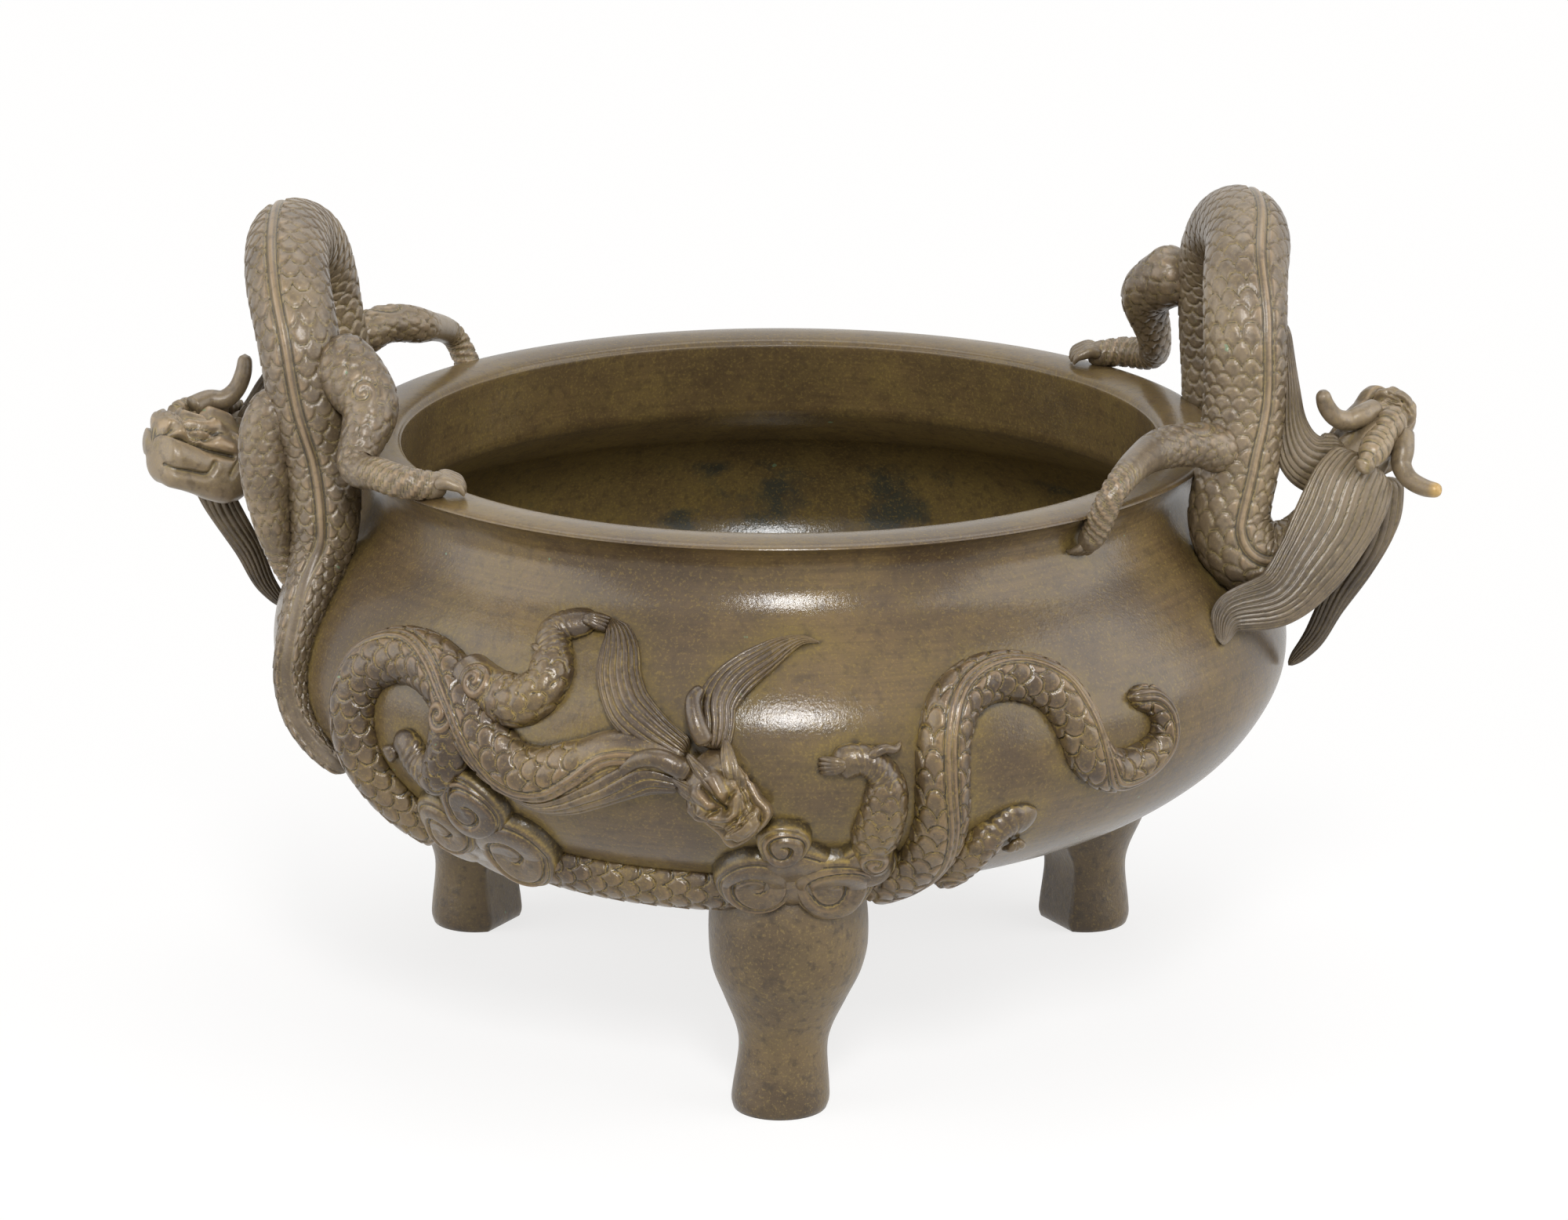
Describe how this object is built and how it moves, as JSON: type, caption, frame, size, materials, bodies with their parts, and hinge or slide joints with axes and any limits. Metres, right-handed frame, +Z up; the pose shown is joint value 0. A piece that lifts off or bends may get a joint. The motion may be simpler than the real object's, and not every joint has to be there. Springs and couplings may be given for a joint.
{
  "type": "tripod censer",
  "caption": "Round bronze incense bowl on stubby legs, with arched dragon handles over the rim and coiling dragons among clouds in relief on the belly.",
  "frame": {"origin": "on the bowl's vertical axis, in the plane of the three soles", "axes": "+Z up, -Y towards the front with its leg and relief dragon, +X towards the right-hand handle"},
  "size_m": [0.3177, 0.265, 0.202],
  "materials": {
    "bowl_bronze": "brown patina, waxed and worn, ochre inside",
    "leg_bronze": "brown patina, worn matte towards the feet",
    "handle_bronze": "grey-brown patina with ochre dust in the cuts",
    "relief_bronze": "dark brown patina with olive dust in the cuts"
  },
  "bodies": {
    "root": {"back_relief_cloud_front": "relief_bronze", "back_relief_cloud_left": "relief_bronze", "back_relief_fore_body": "relief_bronze", "back_relief_foreleg_lower": "relief_bronze", "back_relief_foreleg_upper": "relief_bronze", "back_relief_head": "relief_bronze", "back_relief_hind_body": "relief_bronze", "back_relief_hindleg_lower": "relief_bronze", "back_relief_hindleg_upper": "relief_bronze", "back_relief_horn_inner": "relief_bronze", "back_relief_horn_outer": "relief_bronze", "back_relief_lock_lower": "relief_bronze", "back_relief_lock_middle": "relief_bronze", "back_relief_lock_upper": "relief_bronze", "back_relief_lower_body": "relief_bronze", "front_relief_cloud_front": "relief_bronze", "front_relief_cloud_left": "relief_bronze", "front_relief_fore_body": "relief_bronze", "front_relief_foreleg_lower": "relief_bronze", "front_relief_foreleg_upper": "relief_bronze", "front_relief_head": "relief_bronze", "front_relief_hind_body": "relief_bronze", "front_relief_hindleg_lower": "relief_bronze", "front_relief_hindleg_upper": "relief_bronze", "front_relief_horn_inner": "relief_bronze", "front_relief_horn_outer": "relief_bronze", "front_relief_lock_lower": "relief_bronze", "front_relief_lock_middle": "relief_bronze", "front_relief_lock_upper": "relief_bronze", "front_relief_lower_body": "relief_bronze", "left_dragon_foreleg": "handle_bronze", "left_dragon_head": "handle_bronze", "left_dragon_hindleg_inner": "handle_bronze", "left_dragon_hindleg_outer": "handle_bronze", "left_dragon_horn_far": "handle_bronze", "left_dragon_horn_near": "handle_bronze", "left_dragon_mane_arch": "handle_bronze", "left_dragon_mane_inner": "handle_bronze", "left_dragon_mane_outer": "handle_bronze", "left_dragon_tail": "handle_bronze", "left_dragon_topknot": "handle_bronze", "left_dragon_trunk": "handle_bronze", "leg_front": "leg_bronze", "leg_left": "leg_bronze", "leg_right": "leg_bronze", "right_dragon_foreleg": "handle_bronze", "right_dragon_head": "handle_bronze", "right_dragon_hindleg_inner": "handle_bronze", "right_dragon_hindleg_outer": "handle_bronze", "right_dragon_horn_far": "handle_bronze", "right_dragon_horn_near": "handle_bronze", "right_dragon_mane_arch": "handle_bronze", "right_dragon_mane_inner": "handle_bronze", "right_dragon_mane_outer": "handle_bronze", "right_dragon_tail": "handle_bronze", "right_dragon_topknot": "handle_bronze", "right_dragon_trunk": "handle_bronze", "vessel_body": "bowl_bronze"}
  },
  "joints": []
}
